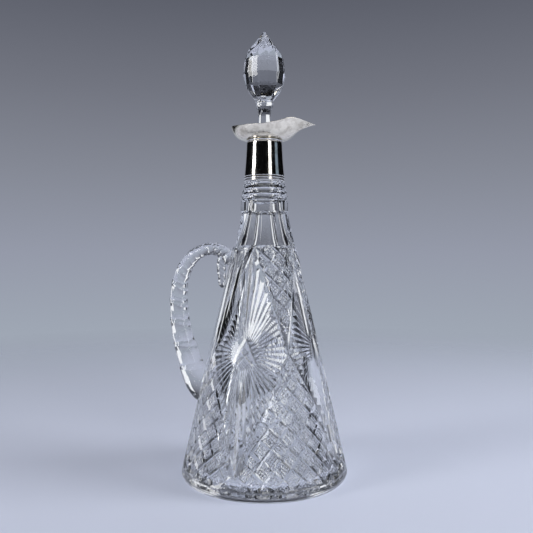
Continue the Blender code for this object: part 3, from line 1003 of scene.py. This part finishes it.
def add_world():
    """A plain grey backdrop: pale lavender below, darker with height, and dark overhead.

    The stops from -0.39 to 0.37 follow average colours measured on the photograph's backdrop. The others
    are given.
    """
    world = bpy.data.worlds.new("backdrop")
    bpy.context.scene.world = world
    world.use_nodes = True
    tree = world.node_tree
    coordinates = add(tree, "ShaderNodeTexCoord")
    split = add(tree, "ShaderNodeSeparateXYZ")
    tree.links.new(coordinates.outputs["Generated"], split.inputs["Vector"])
    ramp = add(tree, "ShaderNodeValToRGB")
    stops = (
        (-0.60, (206, 211, 233)), (-0.39, (200, 205, 228)), (-0.25, (173, 180, 197)),
        (-0.12, (159, 167, 180)), (0.00, (149, 154, 169)), (0.13, (132, 136, 148)),
        (0.25, (114, 117, 128)), (0.37, (94, 97, 108)), (0.47, (66, 68, 76)),
        (0.58, (22, 22, 26)), (1.0, (8, 8, 9)),
    )
    elements = ramp.color_ramp.elements
    while len(elements) < len(stops):
        elements.new(0.5)
    for element, (height, colour) in zip(elements, stops):
        element.position = (height + 1) / 2
        element.color = (*linear(*colour), 1.0)
    share = remap(tree, split.outputs["Z"], -1, 1, 0, 1)
    tree.links.new(share, ramp.inputs["Fac"])
    tree.links.new(ramp.outputs["Color"], tree.nodes["Background"].inputs["Color"])


def add_floor():
    """A plain pale table top that fades into the backdrop."""
    bm = bmesh.new()
    rings = [ring(bm, r, TABLE_Z, 96) for r in TABLE_RINGS]
    join_rings(bm, rings)
    zip_rings(bm, rings[0], [bm.verts.new((0, 0, TABLE_Z))])
    bmesh.ops.recalc_face_normals(bm, faces=bm.faces)
    floor = new_object("table_top", bm, 30)
    material, tree, shader = nodes_of("pale_cloth")
    shader.inputs["Base Color"].default_value = (0.67, 0.71, 0.85, 1.0)
    shader.inputs["Roughness"].default_value = 0.9
    shader.inputs["Specular IOR Level"].default_value = 0.1
    coordinates = add(tree, "ShaderNodeTexCoord")
    reach = add(tree, "ShaderNodeVectorMath", operation="LENGTH")
    tree.links.new(coordinates.outputs["Object"], reach.inputs[0])
    shown = remap(tree, reach.outputs["Value"], 0.16, 0.95, 1.0, 0.0)
    mix = add(tree, "ShaderNodeMixShader")
    clear = add(tree, "ShaderNodeBsdfTransparent")
    tree.links.new(shown, mix.inputs["Fac"])
    tree.links.new(clear.outputs[0], mix.inputs[1])
    tree.links.new(shader.outputs[0], mix.inputs[2])
    tree.links.new(mix.outputs[0], tree.nodes["Material Output"].inputs["Surface"])
    floor.data.materials.append(material)


def facing(direction, distance, height):
    """A place round the object, given by its direction in degrees from +X."""
    a = math.radians(direction)
    return Vector((math.cos(a) * distance, math.sin(a) * distance, height))


def add_strip(name, direction, distance, height, size, power, colour=(1, 1, 1), aim=0.12):
    """A rectangular lamp aimed at the axis, unseen by the camera and by rays refracted by glass."""
    data = bpy.data.lights.new(name, "AREA")
    data.shape = "RECTANGLE"
    data.size, data.size_y = size
    data.energy = power
    data.color = colour
    lamp = bpy.data.objects.new(name, data)
    lamp.location = facing(direction, distance, height)
    lamp.rotation_euler = (Vector((0, 0, aim)) - lamp.location).to_track_quat("-Z", "Y").to_euler()
    lamp.visible_camera = False
    lamp.visible_transmission = False
    bpy.context.collection.objects.link(lamp)
    return lamp


def curved_card(name, first, last, radius, low, high, glow, hidden_from):
    """A curved studio card from one direction to another, black or glowing, that only some rays see."""
    bm = bmesh.new()
    spans = max(2, round(abs(last - first) / 5))
    turns = [math.radians(first + (last - first) * k / spans) for k in range(spans + 1)]
    rows = []
    for z in (low, high):
        rows.append([bm.verts.new((radius * math.cos(a), radius * math.sin(a), z)) for a in turns])
    for k in range(spans):
        bm.faces.new((rows[0][k], rows[0][k + 1], rows[1][k + 1], rows[1][k]))
    card = new_object(name, bm)
    material, _, shader = nodes_of(name)
    shader.inputs["Base Color"].default_value = (0.005, 0.005, 0.005, 1.0)
    shader.inputs["Specular IOR Level"].default_value = 0.0
    shader.inputs["Emission Color"].default_value = (*glow, 1.0)
    shader.inputs["Emission Strength"].default_value = 1.0
    card.data.materials.append(material)
    for ray in ("camera", "diffuse", "shadow", *hidden_from):
        setattr(card, "visible_" + ray, False)


def add_cards():
    """Flags and white strips that draw the cuts in the glass, and a dark room that the silver reflects.

    Of these cards, rays refracted by glass meet only the flags and strips, and reflected rays only the
    dark room and its pale door.
    """
    black, edge_glow, spark_glow = (0.0, 0.0, 0.0), (1.5, 1.55, 1.6), (0.98, 1.0, 1.04)
    only_reflected, only_refracted = ["transmission"], ["glossy"]
    curved_card("dark_room", 140, 440, 2.2, -0.10, 1.90, black, only_reflected)
    curved_card("pale_door", 0, 20, 2.1, 0.0, 1.1, (0.20, 0.26, 0.32), only_reflected)
    for k, (first, last) in enumerate(((179, 205), (15, 36), (149, 157), (62, 70))):
        curved_card("black_flag_%d" % k, first, last, 2.0, 0.05, 1.30, black, only_refracted)
    for k, (first, last) in enumerate(((207, 211), (6, 10))):
        curved_card("edge_strip_%d" % k, first, last, 2.0, 0.0, 1.10, edge_glow, only_refracted)
    for k, (first, last) in enumerate(((133, 145), (74, 86))):
        curved_card("spark_strip_%d" % k, first, last, 2.0, 0.0, 1.10, spark_glow, only_refracted)
    curved_card("low_spark", 72, 86, 0.32, 0.001, 0.14, spark_glow, only_refracted)


def add_light():
    """Four soft lamps and the cards. The lamp on the right isn't seen in reflections either."""
    add_strip("window_left", -136, 1.15, 0.62, (0.34, 1.30), 10.0)
    add_strip("window_front", -36, 1.20, 0.55, (0.34, 1.20), 3.5)
    side = add_strip("window_right", 12, 1.15, 0.62, (0.60, 1.30), 16.0, (0.95, 0.97, 1.0))
    side.visible_glossy = False
    add_strip("overhead", 100, 0.95, 1.35, (0.9, 0.5), 2.5, (0.95, 0.97, 1.0))
    add_cards()


# ---------------------------------------------------------------- assembly

# Edges sharper than these angles, in degrees, stay sharp.
BODY_SHARP, HANDLE_SHARP, STOPPER_SHARP = 11, 14, 9


def finish_piece(piece, body, nodes, materials):
    for material in materials:
        piece.data.materials.append(material)
    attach(piece, body)
    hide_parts(*nodes)


def dress_glass():
    clear = crystal("clear_crystal", (0.994, 0.998, 0.997), 0.0, 0.0, 0.000003)
    blown = crystal("blown_inside", (0.997, 1.0, 0.999), 0.05, 0.09, 0.00001)
    body = new_object("cut_glass_body", cut_body(), BODY_SHARP)
    finish_piece(body, "decanter", ["glass_body"], [clear, blown])
    handle = cut_handle()
    handle.data.shade_smooth()
    handle.data.set_sharp_from_angle(angle=math.radians(HANDLE_SHARP))
    finish_piece(handle, "decanter", ["glass_handle"], [clear])
    stopper = cut_stopper()
    stopper.data.shade_smooth()
    stopper.data.set_sharp_from_angle(angle=math.radians(STOPPER_SHARP))
    ground = crystal("ground_peg", (0.96, 0.97, 0.97), 0.30, 0.45, 0.00002)
    finish_piece(stopper, "stopper", ["stopper"], [clear, ground])


def dress_silver():
    """The four silver pieces, and the hidden liner and plaster, which keep their CAD shapes."""
    bright = silver("polished_silver", (0.90, 0.89, 0.87), (0.55, 0.50, 0.42), 0.05, 0.16, 0.000006)
    creamy = silver("worn_lip_silver", (1.0, 0.93, 0.78), (0.40, 0.35, 0.28), 0.10, 0.30, 0.00002, 0.47, 0.80)
    finish_piece(silver_lip(), "decanter", ["pouring_lip"], [creamy])
    finish_piece(silver_sleeve(), "decanter", ["collar_sleeve"], [bright])
    finish_piece(reeded_wire(), "decanter", ["collar_foot_wire"], [bright])
    finish_piece(bead_wire(), "decanter", ["collar_top_wire"], [bright])
    for node, material in (("throat_liner", creamy), ("collar_plaster", plaster())):
        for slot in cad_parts[node].material_slots:
            slot.material = material


def set_stage():
    add_camera()
    add_world()
    add_floor()
    add_light()
    scene = bpy.context.scene
    scene.view_settings.view_transform = "Standard"
    scene.cycles.max_bounces = 28
    scene.cycles.transmission_bounces = 28
    scene.cycles.glossy_bounces = 8
    scene.cycles.transparent_max_bounces = 16


dress_glass()
dress_silver()
set_stage()
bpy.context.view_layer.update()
